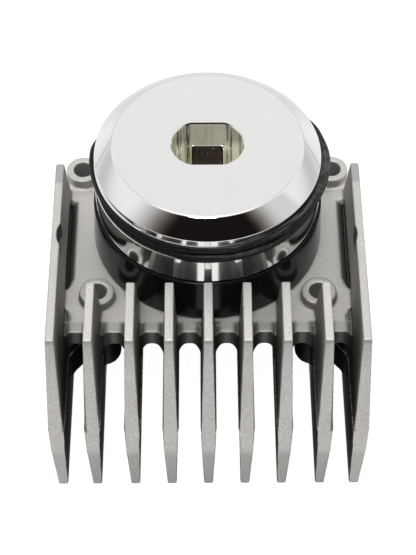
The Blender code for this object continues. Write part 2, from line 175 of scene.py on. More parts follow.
# ------------------------------------------------------------------ materials
def cast_aluminium():
    """Shot-blasted die casting: sparkle of fine dents, pits, cloudy tone."""
    mat, t, bsdf, at = new_material("cast_aluminium_blasted")
    grain = noise_tex(t, at, 3000.0, 3.0, 0.65)
    fine = noise_tex(t, at, 7500.0, 2.0, 0.6)
    cloud = noise_tex(t, at, 95.0, 3.0, 0.6)
    dents = cells(t, at, 2300.0)
    pits = spread(t, cells(t, at, 520.0), 0.05, 0.13, 1.0, 0.0)
    pit_mask = spread(t, noise_tex(t, at, 160.0, 1.0), 0.52, 0.6)
    pits = maths(t, "MULTIPLY", pits, pit_mask)
    tone = mixed(t, spread(t, grain, 0.3, 0.7), rgb(0.40, 0.388, 0.372), rgb(0.86, 0.845, 0.818))
    tone = mixed(t, spread(t, fine, 0.38, 0.64, 0.0, 0.35), tone, rgb(0.90, 0.885, 0.86))
    tone = mixed(t, spread(t, cloud, 0.35, 0.7, 0.0, 0.22), tone, rgb(0.50, 0.48, 0.46))
    tone = mixed(t, maths(t, "MULTIPLY", pits, 0.6), tone, rgb(0.22, 0.21, 0.20))
    facing = node(t, "ShaderNodeSeparateXYZ", {0: node(t, "ShaderNodeTexCoord").outputs["Normal"]}).outputs
    height_at = node(t, "ShaderNodeSeparateXYZ", {0: at}).outputs[2]
    sideways = maths(t, "ABSOLUTE", facing[0])
    spot = node(t, "ShaderNodeSeparateXYZ", {0: at}).outputs
    half_x = maths(t, "ABSOLUTE", spot[0])
    inside = spread(t, half_x, 0.0335, 0.0340, 1.0, 0.0)     # not the outer walls' outer faces

    def both(*factors):
        total = factors[0]
        for f in factors[1:]:
            total = maths(t, "MULTIPLY", total, f)
        return total

    def away(cx, cy):
        dx = maths(t, "SUBTRACT", half_x, cx * MM)
        dy = maths(t, "SUBTRACT", spot[1], (cy + HUB_Y) * MM)
        return maths(t, "SQRT", maths(t, "ADD", maths(t, "MULTIPLY", dx, dx), maths(t, "MULTIPLY", dy, dy)))

    # painted light and shade: what faces up is painted lighter, the fronts and the drafted sides painted darker, and
    # painted shade darkens the lower ends, darkest along the bottom edge
    tone = mixed(t, spread(t, facing[2], 0.45, 0.85, 0.12, 0.0), tone, rgb(0.20, 0.195, 0.185))
    tone = mixed(t, spread(t, facing[2], 0.55, 0.85, 0.0, 0.28), tone, rgb(0.86, 0.848, 0.825))
    tone = mixed(t, spread(t, sideways, 0.6, 0.92, 0.0, 0.48), tone, rgb(0.30, 0.291, 0.275))
    # painted shade on the fins' lower ends, weaker on the outer walls
    tip_shade = maths(t, "ADD", spread(t, height_at, 0.0150, 0.0185, 0.24, 0.0), spread(t, height_at, 0.0, 0.0165, 0.20, 0.0))
    tip_shade = maths(t, "MULTIPLY", tip_shade, spread(t, half_x, 0.0312, 0.0318, 1.0, 0.35))
    tone = mixed(t, tip_shade, tone, rgb(0.17, 0.162, 0.155))
    # painted shade along the bottom edge
    tone = mixed(t, spread(t, height_at, 0.0003, 0.0008, 0.6, 0.0), tone, rgb(0.07, 0.067, 0.063))
    # painted shade on the fronts, growing towards their top edge, and a broken painted dark line just under that edge
    ahead = spread(t, facing[1], -0.75, -0.5, 1.0, 0.0)
    tone = mixed(t, both(ahead, spread(t, height_at, 0.0410, 0.0480, 0.0, 0.22)), tone, rgb(0.20, 0.19, 0.18))
    tone = mixed(t, both(spread(t, facing[1], -0.9, -0.6, 0.45, 0.0), spread(t, height_at, 0.0476, 0.0480), spread(t, grain, 0.35, 0.6)),
                 tone, rgb(0.08, 0.075, 0.07))
    # painted shade in the slots and hollows: where ambient occlusion finds little open space, the tone turns to a dull
    # darker grey
    recess = node(t, "ShaderNodeAmbientOcclusion", {"Distance": 0.014}, samples=8, only_local=True).outputs["AO"]
    recess = maths(t, "ADD", recess, spread(t, facing[2], 0.25, 0.75, 0.0, 0.5))
    open_to_light = spread(t, recess, 0.18, 0.62, 0.0, 1.0, smooth=True)
    tone = mixed(t, open_to_light, mixed(t, spread(t, grain, 0.3, 0.7), rgb(0.15, 0.145, 0.136), rgb(0.25, 0.242, 0.228)), tone)
    # painted shade, near black (the skin colour below), on the sides below the parting plane inside the slots and under
    # the plate
    skin = rgb(0.018, 0.017, 0.016)
    below = both(spread(t, height_at, 0.0238, 0.0246, 0.88, 0.0), spread(t, sideways, 0.5, 0.8), inside)
    tone = mixed(t, below, tone, skin)
    below = both(spread(t, height_at, 0.0272, 0.0288, 0.88, 0.0), spread(t, height_at, 0.001, 0.004), inside,
                 spread(t, spot[1], -0.0176, -0.0168), spread(t, spot[1], 0.012, 0.018, 1.0, 0.0))
    tone = mixed(t, below, tone, skin)
    # painted light and shade on the webs between the fins: lighter along the middle, painted shade on the flanks and on
    # the fronts towards the fins
    aside = maths(t, "ABSOLUTE", maths(t, "SUBTRACT", maths(t, "FRACT", maths(t, "DIVIDE", spot[0], FIN_PITCH * MM)), 0.5))
    web = both(spread(t, spot[1], -0.0158, -0.0150, 1.0, 0.0), spread(t, aside, 0.31, 0.34, 1.0, 0.0),
               spread(t, height_at, 0.0240, 0.0246), spread(t, half_x, 0.0320, 0.0325, 1.0, 0.0))
    top = both(spread(t, spot[1], -0.0158, -0.0150, 1.0, 0.0), spread(t, spot[1], -0.0198, -0.0192), spread(t, aside, 0.41, 0.43, 1.0, 0.0),
               spread(t, height_at, 0.0240, 0.0246), spread(t, height_at, 0.0345, 0.0352, 1.0, 0.0))
    # painted shade on the webs' upper flanks beside the fins
    flank = both(top, spread(t, aside, 0.09, 0.25, 0.25, 0.82, smooth=True), spread(t, facing[2], 0.1, 0.35))
    tone = mixed(t, flank, tone, rgb(0.05, 0.048, 0.045))
    # painted shade on the webs' fronts, lightest in the middle
    face = both(web, spread(t, aside, 0.015, 0.15, 0.15, 0.78, smooth=True), spread(t, facing[2], 0.25, 0.5, 1.0, 0.0))
    tone = mixed(t, face, tone, rgb(0.03, 0.029, 0.027))
    # drilled holes are clean metal with a darker ring round them; painted shade fills the walls' nicks, the foot
    # grooves and the webs' shoulders by the walls
    holes = maths(t, "MINIMUM", away(24.75, -20.0), away(29.2, 16.2))
    rim = both(spread(t, holes, 0.0025, 0.0027), spread(t, holes, 0.0046, 0.0048, 1.0, 0.0), spread(t, height_at, 0.0348, 0.0354, 0.0, 0.24))
    tone = mixed(t, rim, tone, rgb(0.25, 0.24, 0.228))
    tone = mixed(t, spread(t, holes, 0.00240, 0.00255, 0.55, 0.0), tone, rgb(0.60, 0.59, 0.57))
    # painted shade in the scooped nick of each wall
    bitten = maths(t, "SUBTRACT", half_x, spread(t, spot[0], -0.001, 0.001, 0.02721, 0.02680))
    bitten = maths(t, "ADD", maths(t, "MULTIPLY", bitten, bitten), maths(t, "POWER", maths(t, "SUBTRACT", spot[1], (-13.3 + HUB_Y) * MM), 2.0))
    nick = both(spread(t, maths(t, "SQRT", bitten), 0.00602, 0.00612, 1.0, 0.0), spread(t, half_x, 0.0322, 0.0324),
                spread(t, height_at, 0.0440, 0.0450))
    tone = mixed(t, maths(t, "MULTIPLY", nick, 0.85), tone, rgb(0.05, 0.048, 0.045))
    pad = away(24.75, -20.0)
    # painted shade in the groove along each wall's foot
    groove = both(spread(t, half_x, 0.0297, 0.0307, 0.0, 0.88, smooth=True), spread(t, height_at, 0.0343, 0.0352, 1.0, 0.0), inside,
                  spread(t, pad, 0.00745, 0.00785), spread(t, spot[1], -0.0105, -0.0085, 0.0, 1.0), spread(t, spot[1], 0.0190, 0.0200, 1.0, 0.0))
    tone = mixed(t, groove, tone, rgb(0.05, 0.048, 0.045))
    # painted shade on the web's shoulder beside each wall
    shoulder = both(spread(t, half_x, 0.0300, 0.0316, 0.0, 0.75, smooth=True), spread(t, height_at, 0.0342, 0.0346, 1.0, 0.0), inside,
                    spread(t, pad, 0.00748, 0.00775), spread(t, spot[1], -0.0105, -0.0095, 1.0, 0.0), spread(t, spot[1], -0.0158, -0.0150))
    tone = mixed(t, shoulder, tone, rgb(0.05, 0.048, 0.045))
    # the walls' tops are a little darker, with painted shade over their rear ends where the top slopes away from the
    # light
    tone = mixed(t, both(spread(t, half_x, 0.0318, 0.0322), spread(t, height_at, 0.0478, 0.0482, 0.0, 0.15)), tone, rgb(0.30, 0.29, 0.28))
    rear = both(spread(t, half_x, 0.0318, 0.0322), spread(t, height_at, 0.0478, 0.0482), spread(t, spot[1], 0.0124, 0.0130, 0.0, 0.5))
    tone = mixed(t, rear, tone, rgb(0.30, 0.29, 0.28))
    # painted highlight on the parting ridge: a broken bright line along it
    parting_highlight = spread(t, maths(t, "ABSOLUTE", maths(t, "SUBTRACT", height_at, 0.0249)), 0.00016, 0.00036, 1.0, 0.0)
    parting_highlight = both(parting_highlight, spread(t, noise_tex(t, at, 1300.0, 3.0, 0.7), 0.40, 0.54), spread(t, sideways, 0.15, 0.35),
                 spread(t, spot[1], -0.0370, -0.0362))
    tone = mixed(t, parting_highlight, tone, rgb(0.95, 0.93, 0.90))
    rough = spread(t, grain, 0.25, 0.75, 0.48, 0.64)
    height = maths(t, "ADD", maths(t, "MULTIPLY", grain, 0.6), maths(t, "MULTIPLY", fine, 0.25))
    height = maths(t, "ADD", height, maths(t, "MULTIPLY", dents, 0.45))
    height = maths(t, "SUBTRACT", height, maths(t, "MULTIPLY", pits, 0.8))
    connect(t, bsdf, colour=tone, rough=rough, metal=0.62, normal=bump(t, height, 0.5, 0.00006))
    return mat


def chrome():
    """Bright plating with a trace of haze and a few hairlines."""
    mat, t, bsdf, at = new_material("chrome_plate")
    haze = noise_tex(t, at, 140.0, 4.0, 0.6)
    hair = noise_tex(t, stretched(t, at, (900.0, 60.0, 60.0)), 1.0, 2.0, 0.5)
    specks = spread(t, cells(t, at, 380.0), 0.02, 0.06, 1.0, 0.0)
    speck_mask = spread(t, noise_tex(t, at, 120.0, 1.0), 0.6, 0.66)
    specks = maths(t, "MULTIPLY", specks, speck_mask)
    tone = mixed(t, spread(t, haze, 0.3, 0.75), rgb(0.90, 0.90, 0.895), rgb(0.87, 0.87, 0.862))
    tone = mixed(t, maths(t, "MULTIPLY", specks, 0.5), tone, rgb(0.45, 0.44, 0.42))
    rough = maths(t, "ADD", spread(t, haze, 0.35, 0.8, 0.025, 0.06), spread(t, hair, 0.55, 0.75, 0.0, 0.025))
    rough = maths(t, "ADD", rough, maths(t, "MULTIPLY", specks, 0.25))
    # the lands beside the rings are buffed less
    rough = maths(t, "ADD", rough, spread(t, node(t, "ShaderNodeSeparateXYZ", {0: at}).outputs[2], 0.0596, 0.0598, 0.05, 0.0))
    connect(t, bsdf, colour=tone, rough=rough, metal=1.0)
    return mat


def socket_plate():
    """Thin yellowish plating inside the socket, drawn in upright streaks."""
    mat, t, bsdf, at = new_material("socket_plate")
    streak = noise_tex(t, stretched(t, at, (1500.0, 1500.0, 90.0)), 1.0, 3.0, 0.6)
    stain = noise_tex(t, at, 420.0, 3.0, 0.6)
    place = node(t, "ShaderNodeSeparateXYZ", {0: at}).outputs
    on_arc = spread(t, maths(t, "ABSOLUTE", place[0]), 0.0034, 0.0042)
    floor_at = spread(t, place[2], 0.05603, 0.05612, 1.0, 0.0)
    tone = mixed(t, spread(t, streak, 0.32, 0.7), rgb(0.80, 0.80, 0.67), rgb(0.94, 0.94, 0.83))
    tone = mixed(t, spread(t, stain, 0.5, 0.75, 0.0, 0.4), tone, rgb(0.72, 0.72, 0.63))
    # the end arcs are broached in coarse upright marks
    marks = noise_tex(t, stretched(t, at, (1500.0, 1500.0, 80.0)), 1.0, 2.0, 0.55)
    walls = maths(t, "MULTIPLY", on_arc, spread(t, place[2], 0.0560, 0.0563))
    tone = mixed(t, maths(t, "MULTIPLY", walls, spread(t, marks, 0.36, 0.46, 0.9, 0.0)), tone, rgb(1.0, 0.99, 0.88))
    tone = mixed(t, maths(t, "MULTIPLY", walls, spread(t, marks, 0.52, 0.60, 0.0, 0.9)), tone, rgb(0.07, 0.066, 0.042))
    rough = mixed(t, floor_at, spread(t, streak, 0.3, 0.75, 0.24, 0.40), rgb(0.09, 0.09, 0.09))
    metal = maths(t, "MAXIMUM", spread(t, on_arc, 0.0, 1.0, 0.05, 0.40), floor_at)
    connect(t, bsdf, colour=tone, rough=rough, metal=metal, normal=bump(t, streak, 0.25, 0.00003))
    return mat


def black_rubber():
    """Moulded rubber: faint mottle, dust caught in patches."""
    mat, t, bsdf, at = new_material("rubber_moulded")
    mottle = noise_tex(t, at, 700.0, 3.0, 0.6)
    fine = noise_tex(t, at, 5200.0, 2.0, 0.6)
    dust = spread(t, cells(t, at, 1500.0), 0.06, 0.2, 1.0, 0.0)
    dust_at = spread(t, noise_tex(t, at, 150.0, 2.0), 0.56, 0.68)
    dust = maths(t, "MULTIPLY", dust, dust_at)
    tone = mixed(t, spread(t, mottle, 0.3, 0.7), rgb(0.004, 0.004, 0.0045), rgb(0.010, 0.0098, 0.0095))
    # chalky bloom on one side of the ring, on what faces up
    place = node(t, "ShaderNodeSeparateXYZ", {0: at}).outputs
    up = node(t, "ShaderNodeSeparateXYZ", {0: node(t, "ShaderNodeTexCoord").outputs["Normal"]}).outputs[2]
    bloom = maths(t, "MULTIPLY", spread(t, place[0], -0.002, 0.008), spread(t, up, 0.15, 0.8))
    back = maths(t, "SUBTRACT", place[1], HUB_Y * MM)
    rad = maths(t, "SQRT", maths(t, "ADD", maths(t, "MULTIPLY", place[0], place[0]), maths(t, "MULTIPLY", back, back)))
    around = node(t, "ShaderNodeCombineXYZ", {0: rad, 1: place[2], 2: maths(t, "MULTIPLY", place[0], 0.05)}).outputs[0]
    ridges = spread(t, noise_tex(t, around, 2600.0, 2.0, 0.55), 0.47, 0.60)
    worn = spread(t, noise_tex(t, at, 420.0, 2.0, 0.6), 0.40, 0.60, 0.3, 1.0)
    bloom = maths(t, "MULTIPLY", bloom, maths(t, "MULTIPLY", worn, ridges))
    tone = mixed(t, maths(t, "MULTIPLY", bloom, 0.6), tone, rgb(0.17, 0.167, 0.162))
    tone = mixed(t, maths(t, "MULTIPLY", dust, 0.55), tone, rgb(0.22, 0.21, 0.19))
    rough = spread(t, mottle, 0.3, 0.7, 0.26, 0.38)
    height = maths(t, "ADD", mottle, maths(t, "MULTIPLY", fine, 0.3))
    bsdf.inputs["Specular IOR Level"].default_value = 0.17
    connect(t, bsdf, colour=tone, rough=rough, normal=bump(t, height, 0.35, 0.00005))
    return mat


def gloss_black():
    """Gloss black collar with rubbed haze and a little dust."""
    mat, t, bsdf, at = new_material("collar_gloss_black")
    haze = noise_tex(t, at, 240.0, 4.0, 0.6)
    ring = noise_tex(t, stretched(t, at, (70.0, 70.0, 2600.0)), 1.0, 2.0, 0.5)
    dust = spread(t, cells(t, at, 900.0), 0.03, 0.1, 1.0, 0.0)
    dust = maths(t, "MULTIPLY", dust, spread(t, noise_tex(t, at, 130.0, 1.0), 0.58, 0.68))
    tone = mixed(t, spread(t, haze, 0.3, 0.75), rgb(0.004, 0.004, 0.0045), rgb(0.010, 0.0095, 0.009))
    tone = mixed(t, maths(t, "MULTIPLY", dust, 0.3), tone, rgb(0.14, 0.135, 0.13))
    rough = maths(t, "ADD", spread(t, haze, 0.3, 0.8, 0.11, 0.17), spread(t, ring, 0.5, 0.8, 0.0, 0.03))
    bsdf.inputs["Specular IOR Level"].default_value = 0.17
    connect(t, bsdf, colour=tone, rough=rough, normal=bump(t, haze, 0.06, 0.0001))
    return mat


def dark_steel():
    """Blackened steel with brown oxide, the spindle."""
    mat, t, bsdf, at = new_material("steel_blackened")
    blotch = noise_tex(t, at, 480.0, 4.0, 0.65)
    rust = noise_tex(t, at, 1100.0, 3.0, 0.6, 0.4)
    specks = spread(t, cells(t, at, 1000.0), 0.08, 0.2, 1.0, 0.0)
    specks = maths(t, "MULTIPLY", specks, spread(t, noise_tex(t, at, 500.0, 1.0), 0.46, 0.56))
    beside = node(t, "ShaderNodeSeparateXYZ", {0: at}).outputs[0]
    beside = spread(t, maths(t, "ABSOLUTE", beside), 0.0021, 0.0028, 0.1, 1.0)
    tone = mixed(t, spread(t, blotch, 0.3, 0.7), rgb(0.009, 0.007, 0.0055), rgb(0.026, 0.019, 0.0155))
    tone = mixed(t, maths(t, "MULTIPLY", beside, spread(t, rust, 0.45, 0.68, 0.0, 0.5)), tone, rgb(0.12, 0.045, 0.026))
    tone = mixed(t, maths(t, "MULTIPLY", specks, 0.7), tone, rgb(0.60, 0.56, 0.50))
    rough = spread(t, blotch, 0.3, 0.7, 0.38, 0.62)
    connect(t, bsdf, colour=tone, rough=rough, metal=0.55, normal=bump(t, rust, 0.4, 0.00005))
    return mat


def turned_steel(name, dark, light, rough_lo, rough_hi):
    """Ground steel: fine lines round the axis."""
    mat, t, bsdf, at = new_material(name)
    lines = noise_tex(t, stretched(t, at, (120.0, 120.0, 9000.0)), 1.0, 3.0, 0.6)
    blotch = noise_tex(t, at, 300.0, 3.0, 0.6)
    tone = mixed(t, spread(t, lines, 0.3, 0.7), rgb(*dark), rgb(*light))
    tone = mixed(t, spread(t, blotch, 0.5, 0.8, 0.0, 0.25), tone, rgb(*[0.7 * v for v in dark]))
    rough = spread(t, lines, 0.3, 0.7, rough_lo, rough_hi)
    connect(t, bsdf, colour=tone, rough=rough, metal=1.0, normal=bump(t, lines, 0.12, 0.00003))
    return mat


def cage_plastic():
    mat, t, bsdf, at = new_material("cage_moulded")
    grain = noise_tex(t, at, 1800.0, 3.0, 0.6)
    cloud = noise_tex(t, at, 240.0, 2.0, 0.5)
    tone = mixed(t, spread(t, cloud, 0.3, 0.7), rgb(0.24, 0.13, 0.055), rgb(0.38, 0.235, 0.12))
    tone = mixed(t, spread(t, grain, 0.4, 0.7, 0.0, 0.3), tone, rgb(0.20, 0.115, 0.05))
    connect(t, bsdf, colour=tone, rough=spread(t, grain, 0.3, 0.7, 0.42, 0.6), normal=bump(t, grain, 0.2, 0.00004))
    return mat


def zinc():
    """Zinc-plated steel: small spangle, cloudy passivation."""
    mat, t, bsdf, at = new_material("zinc_plate")
    spangle = cells(t, at, 900.0)
    cloud = noise_tex(t, at, 350.0, 3.0, 0.6)
    tone = mixed(t, spread(t, spangle, 0.1, 0.7), rgb(0.60, 0.60, 0.585), rgb(0.70, 0.695, 0.67))
    tone = mixed(t, spread(t, cloud, 0.45, 0.75, 0.0, 0.35), tone, rgb(0.56, 0.55, 0.50))
    connect(t, bsdf, colour=tone, rough=spread(t, cloud, 0.3, 0.7, 0.26, 0.42), metal=1.0,
            normal=bump(t, spangle, 0.12, 0.00004))
    return mat


CAST = cast_aluminium()
CHROME = chrome()
SOCKET = socket_plate()
RUBBER = black_rubber()
GLOSS = gloss_black()
DARK = dark_steel()
STEEL = turned_steel("bearing_steel_ground", (0.46, 0.46, 0.47), (0.62, 0.62, 0.625), 0.18, 0.32)
CAGE = cage_plastic()
ZINC = zinc()


# ------------------------------------------------------------------ mesh helpers
def link(obj):
    scene.collection.objects.link(obj)
    return obj


def loft(name, loops, mats, mat_of=None, closed=True, smooth=True):
    """Quads between loops of equal length, each loop a ring of points in hub-frame mm."""
    n = len(loops[0])
    verts = np.concatenate([row(l) for l in loops])
    count = len(loops)
    faces, slots = [], []
    last = count if closed else count - 1
    for i in range(last):
        a, b = i * n, ((i + 1) % count) * n
        for k in range(n):
            j = (k + 1) % n
            faces.append((a + k, a + j, b + j, b + k))
            slots.append(mat_of(i) if mat_of else 0)
    if not closed:
        faces.append(tuple(reversed(range(n))))
        slots.append(mat_of(0) if mat_of else 0)
        faces.append(tuple(range((count - 1) * n, count * n)))
        slots.append(mat_of(count - 2) if mat_of else 0)
    mesh = bpy.data.meshes.new(name)
    mesh.from_pydata([tuple(v) for v in verts], [], faces)
    for m in mats:
        mesh.materials.append(m)
    mesh.polygons.foreach_set("material_index", slots)
    bm = bmesh.new()
    bm.from_mesh(mesh)
    bmesh.ops.recalc_face_normals(bm, faces=bm.faces[:])
    bm.to_mesh(mesh)
    bm.free()
    if smooth:
        mesh.shade_smooth()
    mesh.update()
    return link(bpy.data.objects.new(name, mesh))


def rounded(points, radii, steps=4, hold=0.04, closed=False):
    """A profile of (r, z) with its corners rounded, and holding points beside each round
    so that the straight runs shade flat."""
    pts = [Vector((p[0], p[1])) for p in points]
    out = []
    for i, p in enumerate(pts):
        rad = radii[i]
        ends = not closed and i in (0, len(pts) - 1)
        if ends or rad <= 0.0:
            out.append(p)
            continue
        before = pts[i - 1] - p
        after = pts[(i + 1) % len(pts)] - p
        u, v = before.normalized(), after.normalized()
        angle = u.angle(v)
        cut = rad / math.tan(angle / 2.0)
        a, b = p + u * cut, p + v * cut
        middle = p + (u + v).normalized() * (rad / math.sin(angle / 2.0))
        if cut + hold < before.length * 0.5:
            out.append(a + u * hold)
        start, end = a - middle, b - middle
        turn = start.angle(end)
        for s in range(steps + 1):
            f = s / steps
            w = (start * math.sin((1 - f) * turn) + end * math.sin(f * turn)) / math.sin(turn)
            out.append(middle + w)
        if cut + hold < after.length * 0.5:
            out.append(b + v * hold)
    return [(p.x, p.y) for p in out]


def lathe(name, profile, count, mats, closed=True):
    angles = np.arange(count) * 2.0 * math.pi / count
    loops = [
        np.stack([r * np.cos(angles), r * np.sin(angles), np.full(count, z)], 1) for r, z in profile
    ]
    return loft(name, loops, mats, closed=closed)


def evaluated(obj):
    graph = bpy.context.evaluated_depsgraph_get()
    graph.update()
    return bpy.data.meshes.new_from_object(obj.evaluated_get(graph))


def discard(*objs):
    for o in objs:
        bpy.data.objects.remove(o, do_unlink=True)


# ------------------------------------------------------------------ casting
def add_prism(bm, section, y0, y1):
    """Closed prism along Y from an (x, z) section."""
    ends = []
    for y in (y0, y1):
        ends.append([bm.verts.new(row([(x, y, z)])[0]) for x, z in section])
    n = len(section)
    made = [bm.faces.new(ends[0]), bm.faces.new(list(reversed(ends[1])))]
    for k in range(n):
        j = (k + 1) % n
        made.append(bm.faces.new((ends[0][j], ends[0][k], ends[1][k], ends[1][j])))
    bmesh.ops.recalc_face_normals(bm, faces=made)


WEB_FRONT_Y, WEB_SPAN, WEB_SHOULDER = -29.3, 2.8, 1.6


def web_top(d):
    """Height of a web's top at a distance d from the fin beside it."""
    fall = WEB_SHOULDER - min(max(d, 0.0), WEB_SHOULDER)
    return -0.25 - (WEB_SHOULDER - math.sqrt(WEB_SHOULDER ** 2 - fall * fall))


def web_arch(d):
    """Height of the arch under a web's front edge at a distance d from the fin beside it."""
    u = min((WEB_SPAN - max(d, 0.0)) / WEB_SPAN, 1.0)
    return -4.55 - 4.4 * (1.0 - math.sqrt(max(1.0 - u * u, 0.0)))


def add_corner(bm, x_face, way):
    """Fillet between a fin's side and the front of the web beside it; way is +1 where the gap is on
    the face's right.  Its top and bottom follow the web's shoulder and arch."""
    rad = 1.7
    section = [(-0.9, 0.8), (rad, 0.8)]
    for k in range(9):
        a = 0.5 * math.pi * (1.0 + k / 8.0)
        section.append((rad + rad * math.cos(a), -rad + rad * math.sin(a)))
    section.append((-0.9, -rad))
    upper, lower = [], []
    for off, y in section:
        x = x_face + way * off
        upper.append(bm.verts.new(row([(x, WEB_FRONT_Y + y, web_top(off))])[0]))
        lower.append(bm.verts.new(row([(x, WEB_FRONT_Y + y, web_arch(off))])[0]))
    n = len(section)
    ends = [bm.faces.new(upper), bm.faces.new(list(reversed(lower)))]
    sides = [bm.faces.new((upper[(k + 1) % n], upper[k], lower[k], lower[(k + 1) % n])) for k in range(n)]
    made = sides + bmesh.ops.triangulate(bm, faces=ends)["faces"]
    bmesh.ops.recalc_face_normals(bm, faces=made)


def add_saddle(bm, mid):
    """The web's top, running on from the plate's front edge and dropping to its shoulders, and its
    rounded front lip below."""
    across, deep = 17, 7
    grid = []
    for j in range(deep):
        f = j / (deep - 1)
        y = -26.2 + (WEB_FRONT_Y + 0.05 + 26.2) * f
        line = []
        for i in range(across):
            off = -2.75 + 5.5 * i / (across - 1)
            line.append((mid + off, y, -0.01 + f * (web_top(WEB_SPAN - abs(off)) + 0.03)))
        grid.append(line)
    top = [[bm.verts.new(row([p])[0]) for p in line] for line in grid]
    low = [[bm.verts.new(row([(p[0], p[1], -3.4)])[0]) for p in line] for line in (grid[0], grid[-1])]
    made = []
    for j in range(deep - 1):
        for i in range(across - 1):
            made.append(bm.faces.new((top[j][i], top[j][i + 1], top[j + 1][i + 1], top[j + 1][i])))
    for i in range(across - 1):
        made.append(bm.faces.new((top[0][i + 1], top[0][i], low[0][i], low[0][i + 1])))
        made.append(bm.faces.new((top[-1][i], top[-1][i + 1], low[1][i + 1], low[1][i])))
        made.append(bm.faces.new((low[0][i], low[1][i], low[1][i + 1], low[0][i + 1])))
    for i in (0, across - 1):
        rim = [top[j][i] for j in range(deep)] + [low[1][i], low[0][i]]
        made += bmesh.ops.triangulate(bm, faces=[bm.faces.new(rim)])["faces"]
    bmesh.ops.recalc_face_normals(bm, faces=made)
    # rounder arch under the front edge
    made = []
    rows = []
    for y in (WEB_FRONT_Y, -26.0):
        pair = []
        for i in range(across):
            off = -2.8 + 5.6 * i / (across - 1)
            x = mid + off
            pair.append((bm.verts.new(row([(x, y, -3.2)])[0]),
                         bm.verts.new(row([(x, y, web_arch(WEB_SPAN - abs(off)))])[0])))
        rows.append(pair)
    for i in range(across - 1):
        for k in range(2):
            (a, b), (c, d) = rows[k][i], rows[k][i + 1]
            made.append(bm.faces.new((a, b, d, c)))
        for k in range(2):
            made.append(bm.faces.new((rows[0][i][k], rows[0][i + 1][k], rows[1][i + 1][k], rows[1][i][k])))
    for i in (0, across - 1):
        made.append(bm.faces.new((rows[0][i][0], rows[0][i][1], rows[1][i][1], rows[1][i][0])))
    bmesh.ops.recalc_face_normals(bm, faces=made)


def add_shoulder(bm, side):
    """The web's rounded shoulder beside a side wall, running back to the front pad."""
    section = []
    for k in range(9):
        d = WEB_SHOULDER * k / 8.0
        section.append((side * (31.905 - d), web_top(d)))
    section += [(side * 29.9, web_top(WEB_SHOULDER)), (side * 29.9, -3.4), (side * 32.3, -3.4), (side * 32.3, web_top(0.0))]
    add_prism(bm, section, -27.2, -21.6)


def bite(name, side):
    """Cutter for the scooped nick in a side wall's inner upper edge."""
    bm = bmesh.new()
    middle = 27.21 if side < 0 else 26.80
    ring = [(side * middle + 5.95 * math.cos(2 * math.pi * k / 64), -13.3 + 5.95 * math.sin(2 * math.pi * k / 64))
            for k in range(64)]
    ends = [[bm.verts.new(row([(x, y, z)])[0]) for x, y in ring] for z in (11.0, 17.0)]
    made = [bm.faces.new(list(reversed(ends[0]))), bm.faces.new(ends[1])]
    for k in range(64):
        j = (k + 1) % 64
        made.append(bm.faces.new((ends[0][k], ends[0][j], ends[1][j], ends[1][k])))
    bmesh.ops.recalc_face_normals(bm, faces=made)
    mesh = bpy.data.meshes.new(name)
    bm.to_mesh(mesh)
    bm.free()
    return link(bpy.data.objects.new(name, mesh))


def foot(name, side):
    """Cutter for the groove between the plate and a side wall's foot: the plate's edge rounds down
    into it, and it ends round the front pad."""
    section = [(32.1, 0.5), (29.7, 0.5)]
    for k in range(8):
        a = 0.5 * math.pi * k / 7.0
        section.append((29.7 + 2.0 * math.sin(a), -2.0 + 2.0 * math.cos(a)))
    section += [(31.75, -2.9), (32.1, -2.9)]
    bm = bmesh.new()
    ends = [[], []]
    for x, z in section:
        y = -20.0 + math.sqrt(max(7.6 ** 2 - (x - 24.75) ** 2, 0.0))
        ends[0].append(bm.verts.new(row([(side * x, y, z)])[0]))
        ends[1].append(bm.verts.new(row([(side * x, 8.5, z)])[0]))
    n = len(section)
    made = [bm.faces.new(ends[0]), bm.faces.new(list(reversed(ends[1])))]
    for k in range(n):
        j = (k + 1) % n
        made.append(bm.faces.new((ends[0][k], ends[0][j], ends[1][j], ends[1][k])))
    bmesh.ops.triangulate(bm, faces=made)
    bmesh.ops.recalc_face_normals(bm, faces=bm.faces[:])
    mesh = bpy.data.meshes.new(name)
    bm.to_mesh(mesh)
    bm.free()
    return link(bpy.data.objects.new(name, mesh))


def settle(mesh):
    """Small uneven spread of the fins: the lower halves a little stouter, the second fin from
    each side leaning out."""
    co = np.empty(len(mesh.vertices) * 3)
    mesh.vertices.foreach_get("co", co)
    co = co.reshape(-1, 3)
    x, y, z = (co / MM - np.array([0.0, HUB_Y, PLATE_Z])).T
    fin = np.clip(np.round(x / FIN_PITCH), -4, 4)
    off = x - fin * FIN_PITCH
    lower = np.clip((-5.0 - z) / 4.0, 0.0, 1.0)
    ahead = np.clip((-24.0 - y) / 4.0, 0.0, 1.0)
    near = np.clip((3.4 - np.abs(off)) / 1.3, 0.0, 1.0)
    near = near * near * (3.0 - 2.0 * near)
    side = np.sign(fin)
    inner = np.abs(fin) < 4
    shift = np.where(inner, 0.06 * off * lower * near, -side * 0.3 * lower * near * np.clip(-side * off / 1.2, 0.0, 1.0))
    shift += np.where(np.abs(fin) == 3, side * 0.38 * np.maximum(lower, ahead) * near, 0.0)
    co[:, 0] += shift * MM
    mesh.vertices.foreach_set("co", co.ravel())
    mesh.update()


